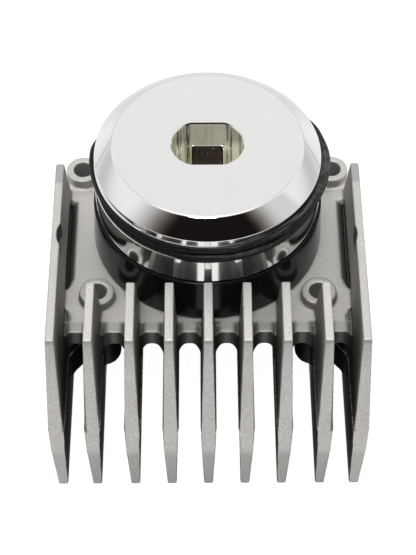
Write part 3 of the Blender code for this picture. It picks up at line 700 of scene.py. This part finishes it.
def casting():
    """The CAD casting with its parting ridge, nicked walls and softened cast edges."""
    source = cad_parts["housing"]
    mesh = source.data.copy()
    bm = bmesh.new()
    bm.from_mesh(mesh)
    bmesh.ops.remove_doubles(bm, verts=bm.verts[:], dist=1e-6)
    for i in range(9):
        x = (i - 4) * FIN_PITCH
        slim = 1.45
        left, right = (1.74 if i < 4 else 1.97 if i > 4 else 1.80), (1.74 if i > 4 else 1.97 if i < 4 else 1.80)
        add_prism(bm, [
            (x - left, FIN_PART_Z), (x - slim, FIN_PART_Z + 0.26), (x + slim, FIN_PART_Z + 0.26),
            (x + right, FIN_PART_Z), (x + slim, FIN_PART_Z - 0.26), (x - slim, FIN_PART_Z - 0.26),
        ], -48.9, 14.3)
    for i in range(8):
        x = (i - 4) * FIN_PITCH
        add_corner(bm, x + 1.455, 1)
        add_corner(bm, x + FIN_PITCH - 1.455, -1)
        add_saddle(bm, x + FIN_PITCH / 2)
    add_shoulder(bm, -1)
    add_shoulder(bm, 1)
    bm.to_mesh(mesh)
    bm.free()
    rough_form = link(bpy.data.objects.new("casting_form", mesh))
    cutters = [bite("bite_left", -1), bite("bite_right", 1), foot("foot_left", -1), foot("foot_right", 1)]
    for c in cutters:
        cut = rough_form.modifiers.new(c.name, "BOOLEAN")
        cut.operation = "DIFFERENCE"
        cut.solver = "EXACT"
        cut.use_self = True
        cut.object = c
    remesh = rough_form.modifiers.new("skin", "REMESH")
    remesh.mode = "VOXEL"
    remesh.voxel_size = 0.00022
    soft = rough_form.modifiers.new("soft", "SMOOTH")
    soft.factor = 0.5
    soft.iterations = 4
    again = rough_form.modifiers.new("skin_again", "REMESH")
    again.mode = "VOXEL"
    again.voxel_size = 0.00022
    again.adaptivity = 0.006
    thin = rough_form.modifiers.new("thin", "DECIMATE")
    thin.ratio = 0.34
    final = evaluated(rough_form)
    final.name = "housing_casting"
    discard(rough_form, *cutters)
    settle(final)
    final.materials.clear()
    final.materials.append(CAST)
    final.shade_smooth()
    obj = link(bpy.data.objects.new("housing_casting", final))
    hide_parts("housing")
    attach(obj, "casing")
    print("casting faces", len(final.polygons))
    return obj


casting()


# ------------------------------------------------------------------ collar
collar_profile = rounded(
    [(20.0, 0.3), (26.05, 0.3), (25.6, 12.05), (20.0, 12.05)],
    [0.2, 0.25, 0.5, 0.3], steps=5, closed=True,
)
collar = lathe("collar_gloss", collar_profile, 192, [GLOSS])
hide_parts("collar")
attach(collar, "casing")


# ------------------------------------------------------------------ hub
FLAT_Y, END_R, END_X = 5.95, 6.4, 1.45
FLAT_STEPS, END_STEPS = 52, 92


def socket_outline(offset=0.0):
    """Two flats joined by end arcs, anticlockwise from the right-hand end of the near flat."""
    flat, rad = FLAT_Y + offset, END_R + offset
    corner = END_X + math.sqrt(max(rad * rad - flat * flat, 0.0))
    swing = math.atan2(flat, corner - END_X)
    pts = []
    for k in range(END_STEPS):
        a = -swing + 2.0 * swing * k / END_STEPS
        pts.append((END_X + rad * math.cos(a), rad * math.sin(a)))
    for k in range(FLAT_STEPS):
        pts.append((corner * (1.0 - 2.0 * k / FLAT_STEPS), flat))
    pts = np.array(pts + [(-x, -y) for x, y in pts])
    for _ in range(24):
        pts = 0.5 * pts + 0.25 * (np.roll(pts, 1, 0) + np.roll(pts, -1, 0))
    return pts


def hub():
    base = socket_outline()
    angle = np.arctan2(base[:, 1], base[:, 0])

    ahead = np.degrees(np.abs((angle + 0.5 * math.pi + math.pi) % (2.0 * math.pi) - math.pi))

    def circle(r, z):
        # the upper land is undercut, except in front
        r = r + 0.2 * np.clip((42.0 - ahead) / 14.0, 0.0, 1.0) * (24.3 < z < 25.4 and 24.6 < r < 24.95)
        return np.stack([r * np.cos(angle), r * np.sin(angle), np.full(len(angle), z)], 1)

    def outline(offset, z):
        pts = socket_outline(offset)
        return np.stack([pts[:, 0], pts[:, 1], np.full(len(pts), z)], 1)

    def slot(half_x, half_y, z):
        c, s = np.cos(angle), np.sin(angle)
        reach = np.minimum(half_x / np.maximum(np.abs(c), 1e-9), half_y / np.maximum(np.abs(s), 1e-9))
        return np.stack([reach * c, reach * s, np.full(len(angle), z)], 1)

    # the lower land and the bevel are buffed slightly barrel-shaped
    points = [(6.65, 13.0), (18.6, 13.0), (19.2, 12.25), (24.72, 12.25), (25.15, 12.68)]
    radii = [0, 0.2, 0.2, 0.1, 0.12]
    for k in range(8):
        z = 13.1 + 0.8 * k
        points.append((25.2 - (z - 16.2) ** 2 / 400.0, z))
        radii.append(0)
    points += [(25.15, 19.6), (23.85, 19.6), (23.85, 24.0), (25.0, 24.0), (25.0, 24.12), (24.78, 24.42), (24.95, 25.82)]
    radii += [0.2, 0.1, 0.1, 0.05, 0.08, 0.1, 0.35]
    for k in range(1, 6):
        f = k / 6.0
        bulge = 0.07 * 4.0 * f * (1.0 - f)
        points.append((24.95 - 4.1 * f + 0.636 * bulge, 25.82 + 3.38 * f + 0.772 * bulge))
        radii.append(0)
    points += [(20.85, 29.2), (12.0, 29.2)]
    radii += [1.15, 0]
    outer = rounded(points, radii, steps=7, hold=0.05)
    loops = [circle(r, z) for r, z in outer]
    rim = 0.25
    loops.append(outline(rim, 29.2))
    loops.append(outline(0.0, 29.2 - rim))
    start = len(loops) - 1
    loops.append(outline(0.0, 28.7))
    loops.append(outline(0.0, 25.5))
    loops.append(outline(0.0, 22.1))
    loops.append(outline(-0.02, 22.02))
    loops.append(slot(3.48, 5.88, 22.0))
    loops.append(slot(3.43, 5.84, 21.93))
    loops.append(slot(3.43, 5.84, 21.6))
    loops.append(slot(3.43, 5.84, 18.9))
    loops.append(circle(6.6, 18.9))
    loops.append(circle(6.65, 18.85))
    obj = loft("hub_chrome", loops, [CHROME, SOCKET], mat_of=lambda i: 1 if i >= start else 0)
    obj.data.set_sharp_from_angle(angle=math.radians(24))
    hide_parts("hub")
    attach(obj, "rotor")
    return obj


hub()


# ------------------------------------------------------------------ rubber rings
def rubber_ring(name, node_name, place):
    """A ring swept round the groove; place(angle) gives its radius, height and the section's half sizes.
    The angle is measured from the front, to the right."""
    steps, around = 240, 84
    loops = []
    for k in range(around):
        a = 2.0 * math.pi * k / around
        pts = []
        for s in range(steps):
            phi = 2.0 * math.pi * s / steps
            r0, z0, half_r, half_z = place(phi)
            # the section is a rounded square, as a pinched cord lies
            c, d = math.cos(a), math.sin(a)
            k2 = (abs(c) ** 2.6 + abs(d) ** 2.6) ** (-1.0 / 2.6)
            # moulded ridges run round the cord
            k2 *= 1.0 + (0.020 + 0.018 * hump(phi, 45.0, 60.0)) * math.cos(14.0 * a + 0.5 * math.sin(2.0 * phi))
            r = r0 + half_r * c * k2
            z = z0 + half_z * d * k2
            pts.append((r * math.sin(phi), -r * math.cos(phi), z))
        loops.append(np.array(pts))
    obj = loft(name, loops, [RUBBER])
    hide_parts(node_name)
    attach(obj, "rotor")
    return obj


def hump(phi, middle, half):
    """1 at middle, 0 beyond half, smooth between; degrees."""
    gap = (math.degrees(phi) - middle + 180.0) % 360.0 - 180.0
    f = max(0.0, 1.0 - abs(gap) / half)
    return f * f * (3.0 - 2.0 * f)


def along(phi, table):
    """Smooth reading of a table of (degrees from the front to the right, value) that closes on itself."""
    at = math.degrees(phi) % 360.0
    spots = sorted((a % 360.0, v) for a, v in table)
    spots = [(spots[-1][0] - 360.0, spots[-1][1])] + spots + [(spots[0][0] + 360.0, spots[0][1])]
    for (a0, v0), (a1, v1) in zip(spots, spots[1:]):
        if a0 <= at <= a1:
            f = (at - a0) / max(a1 - a0, 1e-6)
            return v0 + (v1 - v0) * f * f * (3.0 - 2.0 * f)
    return spots[0][1]


UPPER_REACH = [(-180, 25.3), (-125, 25.1), (-112, 25.25), (-97, 26.15), (-86, 26.05), (-75, 25.65), (-58, 25.5),
               (-25, 25.55), (-10, 25.5), (0, 25.5), (14, 25.9), (35, 26.2), (62, 26.7), (90, 27.05), (108, 26.6), (128, 25.6)]
UPPER_RISE = [(-180, 0.0), (-110, 0.0), (-96, 0.35), (-84, 0.1), (-70, -0.1), (-12, -0.1), (8, 0.2), (28, 0.7),
              (60, 0.85), (95, 0.7), (125, 0.2)]
LOWER_REACH = [(-180, 25.5), (-110, 25.3), (-60, 25.05), (-24, 25.05), (-9, 26.15), (20, 26.1), (40, 25.95), (55, 25.8),
               (95, 25.95), (130, 25.7)]


def upper_place(phi):
    wave = 0.05 * math.sin(3.0 * phi + 0.7) + 0.03 * math.sin(7.0 * phi + 2.0)
    reach = along(phi, UPPER_REACH)
    half_r = min(0.62 + 0.45 * (reach - 25.1), 1.02)
    return reach - half_r, 22.9 + wave + along(phi, UPPER_RISE), half_r, 0.98 + 0.04 * math.sin(5.0 * phi)


def lower_place(phi):
    wave = 0.04 * math.sin(4.0 * phi + 1.9) + 0.03 * math.sin(9.0 * phi)
    reach = along(phi, LOWER_REACH)
    half_r = min(0.60 + 0.40 * (reach - 25.05), 0.98)
    return reach - half_r, 20.72 + wave, half_r, 1.02


rubber_ring("ring_upper_rubber", "ring_upper", upper_place)
rubber_ring("ring_lower_rubber", "ring_lower", lower_place)


# ------------------------------------------------------------------ spindle
def spindle():
    count = 96
    angle = np.arange(count) * 2.0 * math.pi / count

    def circle(r, z):
        return np.stack([r * np.cos(angle), r * np.sin(angle), np.full(count, z)], 1)

    def tang(half_x, half_y, z, power=9.0):
        c, s = np.cos(angle), np.sin(angle)
        reach = (np.abs(c / half_x) ** power + np.abs(s / half_y) ** power) ** (-1.0 / power)
        return np.stack([reach * c, reach * s, np.full(count, z)], 1)

    loops = [tang(0.3, 0.6, 21.84), tang(1.6, 3.6, 21.88), tang(2.5, 5.0, 21.92)]
    for s in range(5):
        a = 0.5 * math.pi * s / 4
        loops.append(tang(2.96 + 0.33 * math.sin(a), 5.45 + 0.33 * math.sin(a), 21.92 - 0.33 * (1.0 - math.cos(a))))
    loops += [tang(3.29, 5.78, 18.9), tang(3.29, 5.78, 18.65)]
    for r, z in rounded(
        [(4.2, 18.6), (6.35, 18.6), (6.35, 12.9), (11.0, 12.9), (11.0, 9.6), (8.0, 8.0), (8.0, -2.2),
         (5.75, -2.2), (5.75, -17.85), (5.0, -17.85), (5.0, -19.05), (5.75, -19.05), (5.75, -20.4),
         (5.15, -21.0), (0.4, -21.0)],
        [0, 0.3, 0.2, 0.3, 0.3, 0.4, 0.2, 0.15, 0.1, 0.1, 0.1, 0.1, 0.1, 0.1, 0], steps=3,
    ):
        loops.append(circle(r, z) if r > 6.0 or z < 18.0 else tang(3.36, 5.6, 18.6))
    obj = loft("spindle_turned", loops, [DARK], closed=False)
    obj.data.set_sharp_from_angle(angle=math.radians(35))
    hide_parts("spindle")
    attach(obj, "rotor")
    return obj


spindle()


# ------------------------------------------------------------------ CAD nodes that stay
for name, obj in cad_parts.items():
    if obj.hide_render:
        continue
    if "cage" in name:
        mat = CAGE
    elif name.startswith("collar_screw") or name == "dust_cap":
        mat = ZINC
    else:
        mat = STEEL
    obj.data.materials.clear()
    obj.data.materials.append(mat)


# ------------------------------------------------------------------ floor
def floor():
    mesh = bpy.data.meshes.new("floor")
    half = 6.0
    mesh.from_pydata([(-half, -half, 0), (half, -half, 0), (half, half, 0), (-half, half, 0)], [], [(0, 1, 2, 3)])
    mat = bpy.data.materials.new("floor_white")
    mat.use_nodes = True
    t = mat.node_tree
    t.nodes.clear()
    out = node(t, "ShaderNodeOutputMaterial")
    matt = node(t, "ShaderNodeBsdfDiffuse", {"Color": rgb(0.14, 0.14, 0.14)})
    glow = node(t, "ShaderNodeEmission", {"Color": rgb(1.0, 1.0, 1.0), "Strength": 0.985})
    both = node(t, "ShaderNodeAddShader", {0: matt.outputs[0], 1: glow.outputs[0]})
    t.links.new(both.outputs[0], out.inputs["Surface"])
    mesh.materials.append(mat)
    obj = link(bpy.data.objects.new("floor", mesh))
    obj.location = (0, 0, -0.0002)
    obj.visible_diffuse = False
    obj.visible_glossy = False
    obj.visible_shadow = False
    return obj


floor()


# ------------------------------------------------------------------ soft studio light
def studio():
    """A white tent: bright overhead and at the sides, a grey band near the horizon, dark
    where the tent is open at the front, and a white table that darkens under the part."""
    world = bpy.data.worlds.new("studio")
    scene.world = world
    world.use_nodes = True
    t = world.node_tree
    t.nodes.clear()
    out = node(t, "ShaderNodeOutputWorld")
    back = node(t, "ShaderNodeBackground")
    t.links.new(back.outputs[0], out.inputs["Surface"])
    way = node(t, "ShaderNodeSeparateXYZ", {0: node(t, "ShaderNodeTexCoord").outputs["Generated"]})
    x, y, z = way.outputs
    flat = maths(t, "SQRT", maths(t, "MAXIMUM", maths(t, "SUBTRACT", 1.0, maths(t, "MULTIPLY", z, z)), 1e-6))
    ahead = maths(t, "DIVIDE", maths(t, "MULTIPLY", y, -1.0), flat)   # 1 straight to the front

    # grey wall foot just above the table's far edge
    def bell(value, middle, width):
        off = maths(t, "DIVIDE", maths(t, "SUBTRACT", value, middle), width)
        return maths(t, "EXPONENT", maths(t, "MULTIPLY", maths(t, "MULTIPLY", off, off), -1.0))

    band = maths(t, "ADD", maths(t, "MULTIPLY", bell(z, 0.25, 0.13), 0.32), maths(t, "MULTIPLY", bell(z, 0.125, 0.012), 0.20))
    tent = maths(t, "SUBTRACT", spread(t, z, 0.62, 0.76, 0.93, 0.888), band)
    tent = maths(t, "ADD", tent, spread(t, z, 0.90, 0.95, 0.0, 0.42, smooth=True))
    # dark gap round the panel that the hub's flat top mirrors
    panel = node(t, "ShaderNodeVectorMath", {0: node(t, "ShaderNodeTexCoord").outputs["Generated"], 1: (0.0, 0.616, 0.788)},
                 operation="DOT_PRODUCT").outputs["Value"]
    gap = bell(panel, 0.908, 0.014)
    gap = maths(t, "MULTIPLY", gap, spread(t, maths(t, "ABSOLUTE", x), 0.04, 0.16))
    gap = maths(t, "MULTIPLY", gap, spread(t, y, 0.45, 0.60, 1.0, 0.0))
    tent = maths(t, "MULTIPLY", tent, maths(t, "SUBTRACT", 1.0, maths(t, "MULTIPLY", gap, 0.72)))

    narrowed = maths(t, "SUBTRACT", ahead, maths(t, "MULTIPLY", maths(t, "MAXIMUM", maths(t, "SUBTRACT", z, 0.68), 0.0), 0.5))
    on_left = spread(t, narrowed, 0.10, 0.80, 0.0, 1.0, smooth=True)
    on_right = maths(t, "ADD", spread(t, narrowed, -0.05, 0.08, 0.0, 0.25, smooth=True),
                     spread(t, narrowed, 0.25, 0.70, 0.0, 0.75, smooth=True))
    opening = node(t, "ShaderNodeMix", {0: spread(t, x, -0.05, 0.05), 2: on_left, 3: on_right}, data_type="FLOAT").outputs[0]
    opening = maths(t, "MULTIPLY", opening, spread(t, z, 0.90, 0.985, 1.0, 0.0, smooth=True))
    opening = maths(t, "MULTIPLY", opening, spread(t, z, -0.02, 0.12, 0.0, 1.0, smooth=True))
    opening = maths(t, "MULTIPLY", opening, spread(t, z, 0.30, 0.60, 0.75, 1.0, smooth=True))
    upper = maths(t, "MULTIPLY", tent, maths(t, "SUBTRACT", 1.0, maths(t, "MULTIPLY", opening, 0.99)))

    # lamp above the camera, in line with the fins
    lamp = node(t, "ShaderNodeVectorMath", {0: node(t, "ShaderNodeTexCoord").outputs["Generated"], 1: (-0.05, -0.340, 0.9391)},
                operation="DOT_PRODUCT").outputs["Value"]
    lit = spread(t, lamp, 0.9863, 0.9936, smooth=True)
    upper = maths(t, "ADD", upper, maths(t, "MULTIPLY", lit, 22.0))

    under = maths(t, "MULTIPLY", spread(t, z, -0.80, -0.45, 1.0, 0.0, smooth=True),
                  spread(t, y, -0.25, 0.30, 0.0, 1.0, smooth=True))
    table = maths(t, "MULTIPLY", 0.95, maths(t, "SUBTRACT", 1.0, maths(t, "MULTIPLY", under, 0.88)))
    table = maths(t, "MULTIPLY", table, spread(t, z, -0.95, -0.87, 0.45, 1.0, smooth=True))
    table = maths(t, "MULTIPLY", table, spread(t, y, 0.80, 0.94, 1.0, 0.80, smooth=True))
    light = node(t, "ShaderNodeMix", {0: spread(t, z, -0.03, 0.0), 2: table, 3: upper}, data_type="FLOAT").outputs[0]
    t.links.new(light, back.inputs["Strength"])
    # the opening's edges are warm
    warm = maths(t, "MULTIPLY", spread(t, opening, 0.55, 0.92), maths(t, "SUBTRACT", 0.8, maths(t, "MULTIPLY", lit, 0.8)))
    t.links.new(mixed(t, warm, rgb(1.0, 0.995, 0.985), rgb(1.0, 0.80, 0.70)), back.inputs["Color"])


studio()
